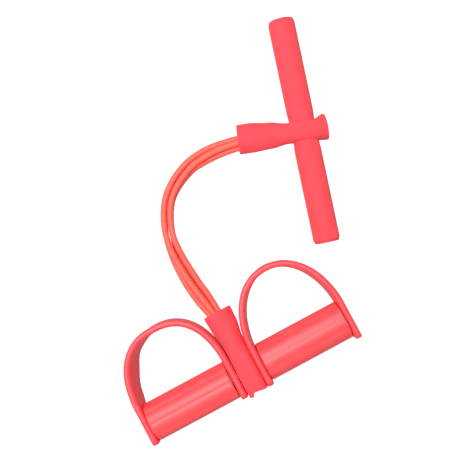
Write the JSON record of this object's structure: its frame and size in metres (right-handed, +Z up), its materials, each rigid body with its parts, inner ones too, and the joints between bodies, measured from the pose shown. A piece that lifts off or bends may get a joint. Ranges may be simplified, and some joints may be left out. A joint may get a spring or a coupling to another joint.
{
  "type": "pedal pull exerciser",
  "caption": "Elastic pull exerciser lying flat: fluted foot rollers with foot loops on a rod, a curved bundle of latex strands between foam sleeves, and a foam-covered crossbar handle.",
  "frame": {"origin": "under the middle of the whole part's outline, on the floor it lies on", "axes": "+X along the pedal rod towards the handle's side, +Y from the rod towards the loop tips and the handle, +Z up"},
  "size_m": [0.3621, 0.3598, 0.044],
  "materials": {
    "foam": "matte closed-cell foam",
    "tread": "satin moulded rubber",
    "strap": "satin flexible plastic",
    "latex": "satin latex",
    "plug": "satin",
    "nylon": "satin",
    "steel": "zinc plated"
  },
  "bodies": {
    "rod_group": {"pedal_rod": "steel", "rod_screw_left": "steel", "rod_screw_right": "steel", "rod_washer_left": "steel", "rod_washer_right": "steel", "sleeve_washer_left": "nylon", "sleeve_washer_right": "nylon", "tread_washer_left_outer": "nylon", "tread_washer_left_inner": "nylon", "tread_washer_right_inner": "nylon", "tread_washer_right_outer": "nylon"},
    "left_roller": {"tread_left": "tread", "hub_left_outer": "nylon", "hub_left_inner": "nylon"},
    "right_roller": {"tread_right": "tread", "hub_right_inner": "nylon", "hub_right_outer": "nylon"},
    "left_loop": {"strap_left": "strap"},
    "right_loop": {"strap_right": "strap"},
    "strand_group": {"lower_sleeve": "foam", "latex_tube_a": "latex", "latex_tube_b": "latex", "joiner_a": "nylon", "joiner_b": "nylon"},
    "upper_sleeve_group": {"upper_sleeve": "foam"},
    "handle_group": {"handle_bar": "steel", "grip_upper": "foam", "grip_lower": "foam", "plug_upper": "plug", "plug_lower": "plug"}
  },
  "joints": [
    {"name": "left_roller_spin", "type": "hinge", "parent": "rod_group", "child": "left_roller", "pos_m": [-0.12174, -0.15156, 0.022], "axis": [1, 0, 0], "continuous": true},
    {"name": "right_roller_spin", "type": "hinge", "parent": "rod_group", "child": "right_roller", "pos_m": [0.01996, -0.15156, 0.022], "axis": [1, 0, 0], "continuous": true},
    {"name": "left_loop_swing", "type": "hinge", "parent": "rod_group", "child": "left_loop", "pos_m": [-0.12174, -0.15156, 0.022], "axis": [1, 0, 0], "continuous": true},
    {"name": "right_loop_swing", "type": "hinge", "parent": "rod_group", "child": "right_loop", "pos_m": [0.01996, -0.15156, 0.022], "axis": [1, 0, 0], "continuous": true},
    {"name": "strand_swing", "type": "hinge", "parent": "rod_group", "child": "strand_group", "pos_m": [-0.05089, -0.15156, 0.022], "axis": [1, 0, 0], "range_deg": [0, 180]},
    {"name": "strand_pull", "type": "slide", "parent": "strand_group", "child": "upper_sleeve_group", "axis": [0.6632, 0.7484, 0], "range_m": [0, 0.25], "stiffness_N_per_m": 300, "deforming": ["latex_tube_a", "latex_tube_b"]},
    {"name": "handle_roll", "type": "hinge", "parent": "upper_sleeve_group", "child": "handle_group", "pos_m": [0.13144, 0.05419, 0.018], "axis": [0.2823, 0.9593, 0], "continuous": true}
  ]
}
